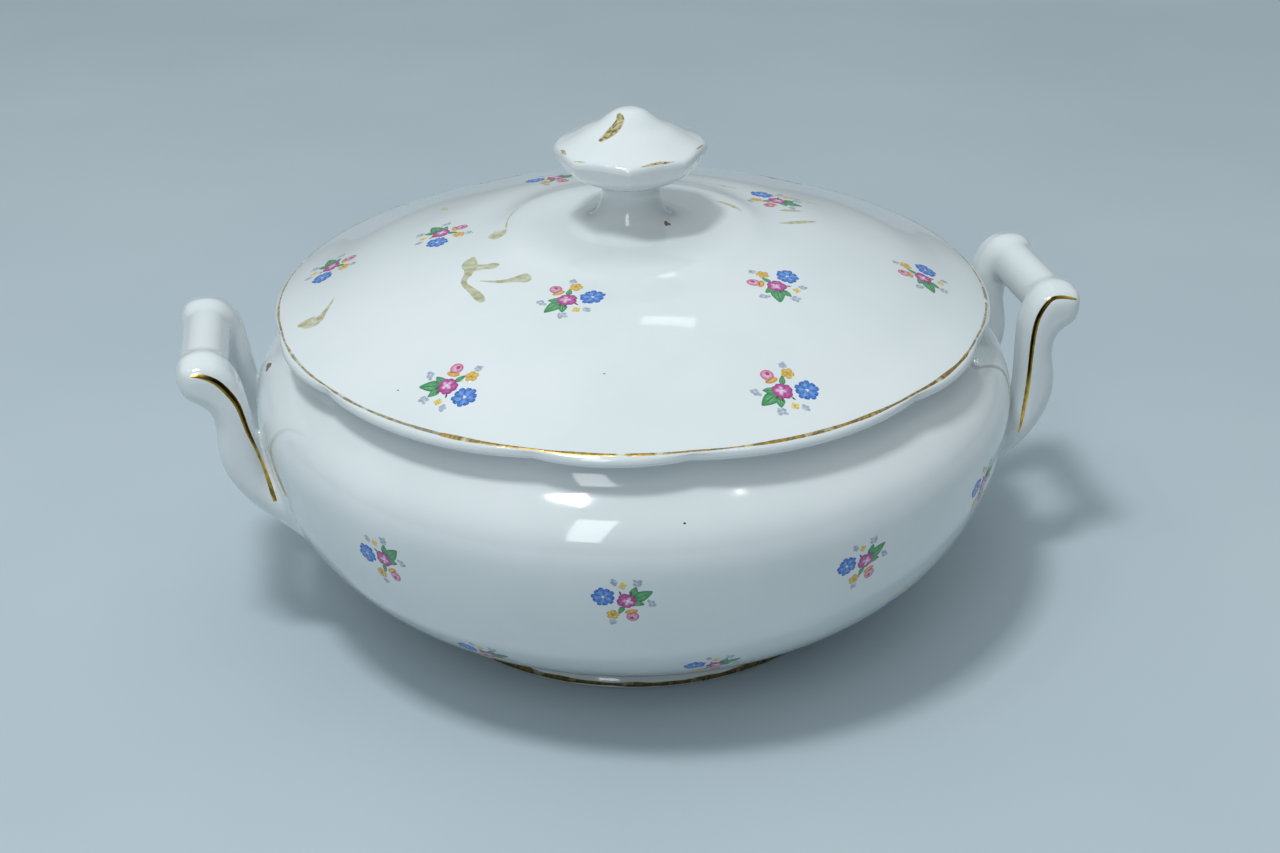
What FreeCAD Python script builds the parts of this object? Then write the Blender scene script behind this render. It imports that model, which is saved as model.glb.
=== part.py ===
import FreeCAD, Part
import math
import os

# Round covered soup tureen in glazed porcelain, with two loop handles and a lift-off lid.
# Units are millimetres. The origin is under the middle of the foot, on the surface it stands on.
# +Z is up, and the handles lie on +X and -X. Outlines are lists of (radius, height) points.

VECTOR = FreeCAD.Vector
ORIGIN = VECTOR(0, 0, 0)
UP = VECTOR(0, 0, 1)

# Bowl
BASE_HEIGHT = 6.4
BASE_RADIUS = 73.0
FLOOR_HEIGHT = 10.9
FLOOR_RADIUS = 68.0
BELLY_RADIUS = 128.5
BELLY_HEIGHT = 80.0
MOUTH_HEIGHT = 104.5
MOUTH_OUTER_RADIUS = 112.0
MOUTH_INNER_RADIUS = 108.0
LIP_ROUNDING = 1.2

# Foot ring
FOOT_TREAD_OUTER = 79.0
FOOT_TREAD_INNER = 76.0
FOOT_INNER_RADIUS = 67.5
FOOT_WALL_LOW = (79.4, 0.7)
FOOT_WALL_HIGH = (78.2, 4.6)

# Lid
SEAT_GAP = 0.3
SEAT_HEIGHT = MOUTH_HEIGHT + SEAT_GAP
SEAT_OUTER_RADIUS = 112.6
FLANGE_OUTER_RADIUS = 106.0
FLANGE_INNER_RADIUS = 101.8
FLANGE_BOTTOM = 96.5
FLANGE_TOP = 107.0
FLANGE_TIP_ROUNDING = 1.4
CROWN_HEIGHT = 132.6
CROWN_RADIUS = 38.5
CROWN_THICKNESS = 4.4
CROWN_UNDER_RADIUS = 20.0
RIM_RADIUS = 119.9
RIM_MIDDLE_HEIGHT = 107.3
RIM_UNDER = (118.2, 105.3)
BRIM_START = (110.5, 112.0)
BRIM_END = (118.1, 109.1)
RIM_CUSP_RADIUS = 118.5
RIM_REPEATS = 6
NARROW_LOBE_DEG = 22.0
NARROW_LOBE_CENTRE_DEG = 17.0

# Knob
KNOB_BASE_RADIUS = 20.0
KNOB_EDGE_RADIUS = 25.3
KNOB_EDGE_HEIGHT = 158.2
KNOB_CUSP_RADIUS = 24.3
KNOB_LOBES = 8
KNOB_FIRST_CUSP_DEG = 12.5
KNOB_CONE_LOW = (24.2, 160.4)
KNOB_CONE_HIGH = (9.8, 167.8)
TOTAL_HEIGHT = 172.0

# Handles, in a side view of (distance from the axis, height)
HANDLE_HALF_WIDTH = 31.0
HANDLE_CORNER_RADIUS = 8.0
HANDLE_REACH = 151.3
HANDLE_ROOT_LOW = (118.0, 42.0)
HANDLE_ROOT_HIGH = (122.0, 76.0)
ARM_INNER_HALF_WIDTH = 15.6
GRIP_INNER = 137.0
GRIP_BOTTOM = 93.6
SLOT_START = 100.0
SLOT_BOTTOM = 30.0

# Gilding
GILDING_THICKNESS = 0.08
GILDING_WIDTH = 1.3


def at(point):
    """An outline point (radius, height) in the XZ plane."""
    return VECTOR(point[0], 0, point[1])


def line(start, end):
    return Part.LineSegment(at(start), at(end)).toShape()


def arc(start, middle, end):
    return Part.Arc(at(start), at(middle), at(end)).toShape()


def curve(points):
    """One smooth curve through the points."""
    spline = Part.BSplineCurve()
    spline.interpolate([at(point) for point in points])
    return spline.toShape()


def face_of(edges):
    return Part.Face(Part.Wire(edges))


def turned(edges):
    """The solid that a closed outline makes when it turns about the Z axis."""
    return face_of(edges).revolve(ORIGIN, UP, 360)


def polar(radius, angle_deg, height=0.0):
    angle = math.radians(angle_deg)
    return VECTOR(radius * math.cos(angle), radius * math.sin(angle), height)


def lobed_prism(lobes, cusp_radius, bottom, top):
    """An upright prism whose outline is one arc per lobe: (start angle, end angle, crest radius)."""
    edges = []
    for start, end, crest_radius in lobes:
        middle = (start + end) / 2
        lobe = Part.Arc(
            polar(cusp_radius, start, bottom),
            polar(crest_radius, middle, bottom),
            polar(cusp_radius, end, bottom),
        )
        edges.append(lobe.toShape())
    return face_of(edges).extrude(VECTOR(0, 0, top - bottom))


def cone_film(start, end):
    """A gilded band of even thickness that lies on the straight outline from start to end."""
    length = math.dist(start, end)
    normal = ((end[1] - start[1]) / length, (start[0] - end[0]) / length)
    offset = math.copysign(GILDING_THICKNESS, normal[0])
    raised_start = (start[0] + normal[0] * offset, start[1] + normal[1] * offset)
    raised_end = (end[0] + normal[0] * offset, end[1] + normal[1] * offset)
    return turned([
        line(start, end),
        line(end, raised_end),
        line(raised_end, raised_start),
        line(raised_start, start),
    ])


def part_way(start, end, share):
    return tuple(a + (b - a) * share for a, b in zip(start, end))


def bowl_outer_curve():
    return curve([
        (BASE_RADIUS, BASE_HEIGHT),
        (89.8, 13.7),
        (104.6, 23.9),
        (117.2, 38.0),
        (125.2, 56.0),
        (128.0, 70.0),
        (BELLY_RADIUS, BELLY_HEIGHT),
        (126.2, 86.6),
        (118.4, 94.4),
        (113.3, 99.4),
        (MOUTH_OUTER_RADIUS, MOUTH_HEIGHT),
    ])


def bowl_inner_curve():
    return curve([
        (MOUTH_INNER_RADIUS, MOUTH_HEIGHT),
        (109.2, 98.0),
        (115.6, 91.0),
        (122.6, 83.8),
        (124.5, 78.4),
        (124.0, 69.6),
        (121.2, 57.0),
        (113.5, 40.5),
        (101.6, 27.0),
        (87.6, 17.2),
        (FLOOR_RADIUS, FLOOR_HEIGHT),
    ])


def bowl_body():
    """The open bowl: flat base, full belly, tight shoulder and a short hollow neck."""
    bowl = turned([
        line((0, BASE_HEIGHT), (BASE_RADIUS, BASE_HEIGHT)),
        bowl_outer_curve(),
        line((MOUTH_OUTER_RADIUS, MOUTH_HEIGHT), (MOUTH_INNER_RADIUS, MOUTH_HEIGHT)),
        bowl_inner_curve(),
        line((FLOOR_RADIUS, FLOOR_HEIGHT), (0, FLOOR_HEIGHT)),
        line((0, FLOOR_HEIGHT), (0, BASE_HEIGHT)),
    ])
    lip_edges = [edge for edge in bowl.Edges if edge.BoundBox.ZMin > MOUTH_HEIGHT - 0.01]
    return bowl.makeFillet(LIP_ROUNDING, lip_edges)


def bowl_envelope():
    """The bowl filled up solid, which trims the roots of the handles to its surface."""
    return turned([
        line((0, BASE_HEIGHT), (BASE_RADIUS, BASE_HEIGHT)),
        bowl_outer_curve(),
        line((MOUTH_OUTER_RADIUS, MOUTH_HEIGHT), (0, MOUTH_HEIGHT)),
        line((0, MOUTH_HEIGHT), (0, BASE_HEIGHT)),
    ])


def foot_ring():
    """A ring luted under the base, with a narrow tread and a straight outer wall."""
    return turned([
        line((FOOT_TREAD_INNER, 0), (FOOT_TREAD_OUTER, 0)),
        line((FOOT_TREAD_OUTER, 0), FOOT_WALL_LOW),
        line(FOOT_WALL_LOW, FOOT_WALL_HIGH),
        arc(FOOT_WALL_HIGH, (75.6, 5.6), (BASE_RADIUS, BASE_HEIGHT)),
        line((BASE_RADIUS, BASE_HEIGHT), (FOOT_INNER_RADIUS, BASE_HEIGHT)),
        arc((FOOT_INNER_RADIUS, BASE_HEIGHT), (72.6, 3.6), (FOOT_TREAD_INNER, 0)),
    ])


def foot_gilding():
    low = part_way(FOOT_WALL_LOW, FOOT_WALL_HIGH, 0.25)
    high = part_way(FOOT_WALL_LOW, FOOT_WALL_HIGH, 0.55)
    return cone_film(low, high)


def rim_lobes():
    """Narrow and wide scallops by turns round the lid, all equally full."""
    lobes = []
    repeat = 360.0 / RIM_REPEATS
    for index in range(RIM_REPEATS):
        narrow_start = NARROW_LOBE_CENTRE_DEG - NARROW_LOBE_DEG / 2 + index * repeat
        narrow_end = narrow_start + NARROW_LOBE_DEG
        lobes.append((narrow_start, narrow_end, RIM_RADIUS))
        lobes.append((narrow_end, narrow_start + repeat, RIM_RADIUS))
    return lobes


def lid_dome():
    """The lid's shell: flat crown, low dome, slightly flared brim and a rolled, scalloped rim."""
    crown_under = CROWN_HEIGHT - CROWN_THICKNESS
    shell = turned([
        line((0, crown_under), (0, CROWN_HEIGHT)),
        line((0, CROWN_HEIGHT), (CROWN_RADIUS, CROWN_HEIGHT)),
        curve([
            (CROWN_RADIUS, CROWN_HEIGHT),
            (43.5, 131.3),
            (58.0, 128.8),
            (75.0, 124.9),
            (92.0, 119.6),
            BRIM_START,
        ]),
        line(BRIM_START, BRIM_END),
        arc(BRIM_END, (RIM_RADIUS, RIM_MIDDLE_HEIGHT), RIM_UNDER),
        line(RIM_UNDER, (SEAT_OUTER_RADIUS, SEAT_HEIGHT)),
        line((SEAT_OUTER_RADIUS, SEAT_HEIGHT), (FLANGE_OUTER_RADIUS, SEAT_HEIGHT)),
        line((FLANGE_OUTER_RADIUS, SEAT_HEIGHT), (FLANGE_OUTER_RADIUS, FLANGE_TOP)),
        line((FLANGE_OUTER_RADIUS, FLANGE_TOP), (FLANGE_INNER_RADIUS, FLANGE_TOP)),
        curve([
            (FLANGE_INNER_RADIUS, FLANGE_TOP),
            (95.0, 113.6),
            (76.0, 120.1),
            (50.0, 125.8),
            (CROWN_UNDER_RADIUS, crown_under),
        ]),
        line((CROWN_UNDER_RADIUS, crown_under), (0, crown_under)),
    ])
    scallops = lobed_prism(rim_lobes(), RIM_CUSP_RADIUS, FLANGE_BOTTOM, TOTAL_HEIGHT)
    return shell.common(scallops)


def lid_locating_flange():
    """The ring under the lid that drops into the bowl's mouth and centres the lid."""
    tip_start = FLANGE_BOTTOM + FLANGE_TIP_ROUNDING
    middle_radius = (FLANGE_INNER_RADIUS + FLANGE_OUTER_RADIUS) / 2
    return turned([
        line((FLANGE_OUTER_RADIUS, FLANGE_TOP), (FLANGE_INNER_RADIUS, FLANGE_TOP)),
        line((FLANGE_INNER_RADIUS, FLANGE_TOP), (FLANGE_INNER_RADIUS, tip_start)),
        arc(
            (FLANGE_INNER_RADIUS, tip_start),
            (middle_radius, FLANGE_BOTTOM),
            (FLANGE_OUTER_RADIUS, tip_start),
        ),
        line((FLANGE_OUTER_RADIUS, tip_start), (FLANGE_OUTER_RADIUS, FLANGE_TOP)),
    ])


def lid_rim_gilding():
    return cone_film(part_way(BRIM_START, BRIM_END, 0.82), BRIM_END)


def lid_knob():
    """A lobed mushroom knob on a short flared stem."""
    knob = turned([
        line((0, CROWN_HEIGHT), (KNOB_BASE_RADIUS, CROWN_HEIGHT)),
        curve([
            (KNOB_BASE_RADIUS, CROWN_HEIGHT),
            (14.0, 133.9),
            (11.2, 137.2),
            (9.8, 140.6),
            (9.6, 144.2),
            (12.6, 147.9),
            (18.8, 150.8),
            (23.6, 154.8),
            (KNOB_EDGE_RADIUS, KNOB_EDGE_HEIGHT),
        ]),
        arc((KNOB_EDGE_RADIUS, KNOB_EDGE_HEIGHT), (25.1, 159.6), KNOB_CONE_LOW),
        line(KNOB_CONE_LOW, KNOB_CONE_HIGH),
        curve([KNOB_CONE_HIGH, (7.0, 169.5), (4.4, 171.0), (2.0, 171.8), (0, TOTAL_HEIGHT)]),
        line((0, TOTAL_HEIGHT), (0, CROWN_HEIGHT)),
    ])
    step = 360.0 / KNOB_LOBES
    starts = [KNOB_FIRST_CUSP_DEG + index * step for index in range(KNOB_LOBES)]
    lobes = [(start, start + step, KNOB_EDGE_RADIUS) for start in starts]
    return knob.common(lobed_prism(lobes, KNOB_CUSP_RADIUS, CROWN_HEIGHT, TOTAL_HEIGHT + 1))


def knob_gilding():
    return cone_film(part_way(KNOB_CONE_HIGH, KNOB_CONE_LOW, 0.92), KNOB_CONE_LOW)


def handle_side_face():
    """The handle seen from its end: it grows out of the belly, climbs and rolls out into the grip."""
    outline = curve([
        HANDLE_ROOT_LOW,
        (127.4, 48.6),
        (135.2, 56.4),
        (140.4, 65.8),
        (141.8, 76.0),
        (141.0, 85.4),
        (143.4, 92.0),
        (149.4, 96.8),
        (HANDLE_REACH, 102.0),
        (149.2, 106.4),
        (144.2, 108.2),
        (137.2, 106.4),
        (132.2, 101.0),
        (129.4, 91.0),
        HANDLE_ROOT_HIGH,
    ])
    return face_of([outline, line(HANDLE_ROOT_HIGH, HANDLE_ROOT_LOW)])


def handle_plan_prism():
    """The handle seen from above: a wide bar with rounded outer corners."""
    corner = HANDLE_REACH - HANDLE_CORNER_RADIUS
    straight = HANDLE_HALF_WIDTH - HANDLE_CORNER_RADIUS
    diagonal = HANDLE_CORNER_RADIUS * math.sqrt(0.5)
    inner_front = VECTOR(SLOT_START, -HANDLE_HALF_WIDTH, 0)
    corner_front = VECTOR(corner, -HANDLE_HALF_WIDTH, 0)
    bend_front = VECTOR(corner + diagonal, -straight - diagonal, 0)
    outer_front = VECTOR(HANDLE_REACH, -straight, 0)
    outer_back = VECTOR(HANDLE_REACH, straight, 0)
    bend_back = VECTOR(corner + diagonal, straight + diagonal, 0)
    corner_back = VECTOR(corner, HANDLE_HALF_WIDTH, 0)
    inner_back = VECTOR(SLOT_START, HANDLE_HALF_WIDTH, 0)
    outline = [
        Part.LineSegment(inner_front, corner_front),
        Part.Arc(corner_front, bend_front, outer_front),
        Part.LineSegment(outer_front, outer_back),
        Part.Arc(outer_back, bend_back, corner_back),
        Part.LineSegment(corner_back, inner_back),
        Part.LineSegment(inner_back, inner_front),
    ]
    return face_of([edge.toShape() for edge in outline]).extrude(VECTOR(0, 0, TOTAL_HEIGHT))


def finger_slot():
    """What is left open between the arms: behind the grip, and under it."""
    width = 2 * ARM_INNER_HALF_WIDTH
    behind_corner = VECTOR(SLOT_START, -ARM_INNER_HALF_WIDTH, SLOT_BOTTOM)
    behind = Part.makeBox(GRIP_INNER - SLOT_START, width, TOTAL_HEIGHT, behind_corner)
    under = Part.makeBox(HANDLE_REACH, width, GRIP_BOTTOM - SLOT_BOTTOM, behind_corner)
    return behind.fuse(under)


def right_handle():
    """A loop handle: two arms from the belly and a thick grip between their ends."""
    side = handle_side_face()
    side.translate(VECTOR(0, -HANDLE_HALF_WIDTH, 0))
    loop = side.extrude(VECTOR(0, 2 * HANDLE_HALF_WIDTH, 0))
    loop = loop.common(handle_plan_prism())
    loop = loop.cut(finger_slot())
    return loop.cut(bowl_envelope())


def gilded_stroke(points):
    """A flat ribbon along the points, one film thick towards +Y, that tapers at both ends."""
    upper = []
    lower = []
    last = len(points) - 1
    for index, (x, z) in enumerate(points):
        before = points[max(index - 1, 0)]
        after = points[min(index + 1, last)]
        length = math.dist(before, after)
        half = GILDING_WIDTH / 2 * (0.5 if index in (0, last) else 1.0)
        step_x = (after[1] - before[1]) / length * half
        step_z = (before[0] - after[0]) / length * half
        upper.append((x + step_x, z + step_z))
        lower.append((x - step_x, z - step_z))
    ribbon = face_of([
        curve(upper),
        line(upper[-1], lower[-1]),
        curve(lower[::-1]),
        line(lower[0], upper[0]),
    ])
    return ribbon.extrude(VECTOR(0, GILDING_THICKNESS, 0))


def right_handle_gilding():
    """One line of gold down the outer face of each arm."""
    stroke = gilded_stroke([
        (142.0, 105.4),
        (138.4, 104.2),
        (135.4, 100.6),
        (133.4, 94.4),
        (132.2, 87.6),
        (131.0, 80.0),
        (129.4, 71.6),
        (127.8, 63.6),
        (126.8, 58.0),
    ])
    back = stroke.copy()
    back.translate(VECTOR(0, HANDLE_HALF_WIDTH, 0))
    front = stroke.copy()
    front.translate(VECTOR(0, -HANDLE_HALF_WIDTH - GILDING_THICKNESS, 0))
    return Part.makeCompound([back, front])


def on_the_left(shape):
    """The same piece turned half round the axis, for the other handle."""
    turned_round = shape.copy()
    turned_round.rotate(ORIGIN, UP, 180)
    return turned_round


def main():
    nodes = {
        "bowl_body": bowl_body(),
        "foot_ring": foot_ring(),
        "right_handle": right_handle(),
        "left_handle": on_the_left(right_handle()),
        "foot_gilding": foot_gilding(),
        "right_handle_gilding": right_handle_gilding(),
        "left_handle_gilding": on_the_left(right_handle_gilding()),
        "lid_dome": lid_dome(),
        "lid_locating_flange": lid_locating_flange(),
        "lid_knob": lid_knob(),
        "lid_rim_gilding": lid_rim_gilding(),
        "knob_gilding": knob_gilding(),
    }
    os.makedirs("parts", exist_ok=True)
    for name, shape in nodes.items():
        shape.exportStep(os.path.join("parts", name + ".step"))


main()
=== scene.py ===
import math
import random

import bmesh
import bpy
import numpy as np
from mathutils import Matrix, Vector
from mathutils.bvhtree import BVHTree


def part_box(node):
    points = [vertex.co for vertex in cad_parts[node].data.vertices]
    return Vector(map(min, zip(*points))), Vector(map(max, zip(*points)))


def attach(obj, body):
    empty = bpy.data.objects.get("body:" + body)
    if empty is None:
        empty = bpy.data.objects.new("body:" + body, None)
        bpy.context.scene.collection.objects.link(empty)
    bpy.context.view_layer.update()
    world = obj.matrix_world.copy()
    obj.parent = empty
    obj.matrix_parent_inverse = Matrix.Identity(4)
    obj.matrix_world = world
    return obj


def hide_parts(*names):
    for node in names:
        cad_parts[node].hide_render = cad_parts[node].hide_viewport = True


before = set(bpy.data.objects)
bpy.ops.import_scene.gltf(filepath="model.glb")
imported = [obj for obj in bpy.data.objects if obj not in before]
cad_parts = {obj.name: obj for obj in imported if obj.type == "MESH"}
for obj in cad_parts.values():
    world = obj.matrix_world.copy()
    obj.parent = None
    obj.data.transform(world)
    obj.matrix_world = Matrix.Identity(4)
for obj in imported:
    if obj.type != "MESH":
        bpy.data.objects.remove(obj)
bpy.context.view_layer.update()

# The looks of a round covered porcelain tureen: glossy white glaze, flower transfers and worn gilding.
# Units are metres, and MM turns millimetres into metres. Outlines are lists of (radius, height) points.
# Azimuths on the piece are measured from +X, and the camera's from -Y, the side that it stands on.

MM = 0.001

# --- Driving sizes, read from the frame ---
bowl_low, bowl_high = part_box("bowl_body")
foot_low, foot_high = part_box("foot_ring")
lid_low, lid_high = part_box("lid_dome")
knob_low, knob_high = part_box("lid_knob")
_, handle_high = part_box("right_handle")


def widest(node):
    """The largest distance of a CAD node's surface from the axis."""
    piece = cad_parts[node]
    return max((piece.matrix_world @ vertex.co).xy.length for vertex in piece.data.vertices)


BELLY = bowl_high.x
BASE = bowl_low.z
MOUTH = bowl_high.z
BOWL_HEIGHT = MOUTH - BASE
FOOT = foot_high.x
RIM = widest("lid_dome")
SEAT = lid_low.z
CROWN = lid_high.z
KNOB = widest("lid_knob")
KNOB_TOP = knob_high.z
REACH = handle_high.x
GRIP_TOP = handle_high.z
HALF_GRIP = handle_high.y

# --- Camera: metres, degrees, and millimetres for the lens ---
CAMERA_DISTANCE = 0.560
CAMERA_HEIGHT = 0.3525
CAMERA_AZIMUTH = -9.78
VIEW_AZIMUTH = -10.0
VIEW_DOWN = 27.93
VIEW_ROLL = -0.69
LENS = 50.6
SENSOR = 36.0


# --- Curves and surfaces ---

def natural_spline(knots, values, where):
    """Values of the natural cubic spline through the knots, at the places asked for."""
    steps = np.diff(knots)
    slopes = np.diff(values) / steps
    count = len(knots)
    matrix = np.eye(count)
    right = np.zeros(count)
    for i in range(1, count - 1):
        matrix[i, i - 1] = steps[i - 1]
        matrix[i, i] = 2 * (steps[i - 1] + steps[i])
        matrix[i, i + 1] = steps[i]
        right[i] = 6 * (slopes[i] - slopes[i - 1])
    bends = np.linalg.solve(matrix, right)
    span = np.clip(np.searchsorted(knots, where) - 1, 0, count - 2)
    step = steps[span]
    ahead = (knots[span + 1] - where) / step
    behind = (where - knots[span]) / step
    curved = (ahead ** 3 - ahead) * bends[span] + (behind ** 3 - behind) * bends[span + 1]
    return ahead * values[span] + behind * values[span + 1] + curved * step ** 2 / 6


def offset(corner, steps):
    """Outline points from steps in millimetres, out and up from a corner (radius, height)."""
    return [(corner[0] + out * MM, corner[1] + up * MM) for out, up in steps]


def run_along(points):
    """Distance along a line of points, from its start to each of them."""
    return np.concatenate([[0], np.cumsum(np.linalg.norm(np.diff(points, axis=0), axis=1))])


def unit(vectors):
    return vectors / np.linalg.norm(vectors, axis=-1, keepdims=True)


def smooth(points, count):
    """Evenly spaced points along a smooth curve through the given points."""
    points = np.array(points, float)
    knots = run_along(points)
    fine = np.linspace(0, knots[-1], 40 * len(points))
    dense = np.stack([natural_spline(knots, points[:, k], fine) for k in range(points.shape[1])], axis=1)
    run = run_along(dense)
    even = np.linspace(0, run[-1], count)
    return np.stack([np.interp(even, run, dense[:, k]) for k in range(points.shape[1])], axis=1)


def fade(value, start, end):
    """0 before start, 1 after end, and a smooth step between them."""
    share = np.clip((value - start) / (end - start), 0, 1)
    return share * share * (3 - 2 * share)


def no_warp(radius, height, azimuth):
    return radius, height


def add_object(name, data):
    item = bpy.data.objects.new(name, data)
    bpy.context.scene.collection.objects.link(item)
    return item


def new_mesh(name, points, faces, sharp_deg=40.0):
    """A mesh object made of closed shells, each facing outward."""
    mesh = bpy.data.meshes.new(name)
    mesh.from_pydata([tuple(p) for p in points], [], faces)
    shells = bmesh.new()
    shells.from_mesh(mesh)
    bmesh.ops.recalc_face_normals(shells, faces=shells.faces)
    shells.to_mesh(mesh)
    shells.free()
    mesh.shade_smooth()
    mesh.set_sharp_from_angle(angle=math.radians(sharp_deg))
    return add_object(name, mesh)


def turned(name, outline, segments, warp=no_warp, loop=False):
    """Turns an outline about the Z axis. A loop makes a ring; any other starts and ends on the axis."""
    azimuths = np.linspace(0, 2 * math.pi, segments, endpoint=False)
    points = []
    rings = []
    for radius, height in outline:
        if radius < 1e-7:
            rings.append([len(points)])
            points.append((0.0, 0.0, height))
            continue
        r, z = warp(np.full(segments, radius), np.full(segments, height), azimuths)
        rings.append(list(range(len(points), len(points) + segments)))
        points.extend(zip(r * np.cos(azimuths), r * np.sin(azimuths), z))
    faces = []
    pairs = list(zip(rings, rings[1:]))
    if loop:
        pairs.append((rings[-1], rings[0]))
    for lower, upper in pairs:
        for i in range(segments):
            j = (i + 1) % segments
            if len(lower) == 1:
                faces.append((lower[0], upper[j], upper[i]))
            elif len(upper) == 1:
                faces.append((lower[i], lower[j], upper[0]))
            else:
                faces.append((lower[i], lower[j], upper[j], upper[i]))
    return new_mesh(name, points, faces)


class Surface:
    """The outside of a turned piece, on which flat decoration is laid."""

    def __init__(self, meridian, warp=no_warp):
        self.meridian = np.array(meridian)
        self.run = run_along(self.meridian)
        self.warp = warp

    def place(self, run, azimuth):
        """Points at distances along the meridian and azimuths in radians."""
        radius = np.interp(run, self.run, self.meridian[:, 0])
        height = np.interp(run, self.run, self.meridian[:, 1])
        radius, height = self.warp(radius, height, azimuth)
        return np.stack([radius * np.cos(azimuth), radius * np.sin(azimuth), height], axis=-1)

    def points_and_normals(self, run, azimuth):
        """The points, and the directions that face away from the piece's inside."""
        run, azimuth = np.broadcast_arrays(run, azimuth)
        step = 0.2 * MM
        point = self.place(run, azimuth)
        radius = np.maximum(np.hypot(point[..., 0], point[..., 1]), MM)
        along = self.place(run + step, azimuth) - self.place(run - step, azimuth)
        around = self.place(run, azimuth + step / radius) - self.place(run, azimuth - step / radius)
        normal = unit(np.cross(around, along))
        outward = point.copy()
        outward[..., 2] = 0.05
        facing = np.sum(normal * outward, axis=-1, keepdims=True)
        return point, normal * np.where(facing < 0, -1.0, 1.0)

    def run_at_radius(self, radius):
        """Distance along the meridian, from its start out to its widest point."""
        wide = int(np.argmax(self.meridian[:, 0])) + 1
        return float(np.interp(radius, self.meridian[:wide, 0], self.run[:wide]))

    def run_at_height(self, height):
        return float(np.interp(height, self.meridian[:, 1], self.run))

    def radius_at(self, run):
        return np.interp(run, self.run, self.meridian[:, 0])


# --- Materials ---

def srgb(red, green, blue):
    """A colour given as it looks on a screen, 0 to 255, in the linear values that the shader takes."""
    linear = []
    for value in (red, green, blue):
        share = value / 255
        linear.append(share / 12.92 if share <= 0.04045 else ((share + 0.055) / 1.055) ** 2.4)
    return (*linear, 1.0)


WHITE = (1.0, 1.0, 1.0, 1.0)
BLACK = (0.0, 0.0, 0.0, 1.0)


def shades(*stops):
    """Stops for a ramp: (position, red, green, blue), 0 to 255."""
    return [(position, srgb(*colour)) for position, *colour in stops]


def new_material(name):
    material = bpy.data.materials.new(name)
    material.use_nodes = True
    return material, material.node_tree, material.node_tree.nodes["Principled BSDF"]


def fill(tree, node, inputs):
    """Sets a node's inputs by name: another node's output is linked, and anything else is a plain value."""
    for name, value in inputs.items():
        if isinstance(value, bpy.types.NodeSocket):
            tree.links.new(value, node.inputs[name])
        else:
            node.inputs[name].default_value = value


def add_node(tree, kind, inputs):
    node = tree.nodes.new("ShaderNode" + kind)
    fill(tree, node, inputs)
    return node


def noise(tree, scale, detail=3.0, seed=0.0):
    """A noise pattern fixed to the piece, so many features to the metre."""
    place = add_node(tree, "TexCoord", {}).outputs["Object"]
    shift = add_node(tree, "Mapping", {"Vector": place, "Location": (seed, seed * 0.7, seed * 1.3)})
    inputs = {"Vector": shift.outputs["Vector"], "Scale": scale, "Detail": detail}
    return add_node(tree, "TexNoise", inputs).outputs["Fac"]


def ramp(tree, source, stops):
    """Colours by value: stops are (position, colour)."""
    node = add_node(tree, "ValToRGB", {"Fac": source})
    elements = node.color_ramp.elements
    while len(elements) < len(stops):
        elements.new(0.5)
    for element, (position, colour) in zip(elements, stops):
        element.position = position
        element.color = colour
    return node.outputs["Color"]


def spread(tree, source, low, high, start=0.3, end=0.7):
    """Maps a value that runs from start to end onto the range low to high."""
    inputs = {"Value": source, "From Min": start, "From Max": end, "To Min": low, "To Max": high}
    return add_node(tree, "MapRange", inputs).outputs["Result"]


def bump(tree, source, strength, distance, under=None):
    """A bumped normal, on top of another one where that is given."""
    inputs = {"Height": source, "Strength": strength, "Distance": distance}
    if under is not None:
        inputs["Normal"] = under
    return add_node(tree, "Bump", inputs).outputs["Normal"]


def painted(tree, wear):
    """The colour painted on the mesh, darkened by a pattern of wear."""
    paint = add_node(tree, "Attribute", {})
    paint.attribute_name = "paint"
    wash = add_node(tree, "Mix", {})
    wash.data_type = "RGBA"
    wash.blend_type = "MULTIPLY"
    fill(tree, wash, {"Factor": 1.0, "A": paint.outputs["Color"], "B": wear})
    return wash.outputs["Result"]


def glazed_porcelain():
    """White body under a clear glaze: faint cloudiness, slow waves in the gloss and fine orange peel."""
    material, tree, shader = new_material("porcelain_glaze")
    waves = bump(tree, noise(tree, 38.0, 2.0, 1.7), 0.10, 1.0 * MM)
    fill(tree, shader, {
        "Base Color": ramp(tree, noise(tree, 22.0), shades((0.35, 219, 225, 226), (0.65, 226, 230, 231))),
        "Roughness": spread(tree, noise(tree, 45.0, 4.0, 3.1), 0.05, 0.11),
        "Normal": bump(tree, noise(tree, 420.0, 2.0, 5.2), 0.035, 0.2 * MM, waves),
        "IOR": 1.52,
        "Coat Weight": 0.6,
        "Coat Roughness": 0.03,
    })
    return material


def bare_porcelain():
    """Unglazed bisque where the lid seats."""
    material, tree, shader = new_material("bisque")
    grains = noise(tree, 900.0, 5.0)
    fill(tree, shader, {
        "Base Color": ramp(tree, grains, shades((0.3, 205, 207, 202), (0.7, 226, 227, 222))),
        "Roughness": spread(tree, noise(tree, 300.0), 0.45, 0.62),
        "Normal": bump(tree, grains, 0.15, 0.1 * MM),
    })
    return material


def bright_gold():
    """Burnished gold on the handles, with hair-fine scratches; each line's paint colour holds a painted dark
    reflection down its middle.
    """
    material, tree, shader = new_material("bright_gold")
    wear = ramp(tree, noise(tree, 420.0, 4.0), [(0.35, (0.55, 0.50, 0.45, 1.0)), (0.60, WHITE)])
    fill(tree, shader, {
        "Base Color": painted(tree, wear),
        "Roughness": spread(tree, noise(tree, 700.0, 3.0, 2.0), 0.10, 0.26),
        "Normal": bump(tree, noise(tree, 1500.0, 2.0, 4.0), 0.10, 0.05 * MM),
        "Metallic": 1.0,
    })
    return material


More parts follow.
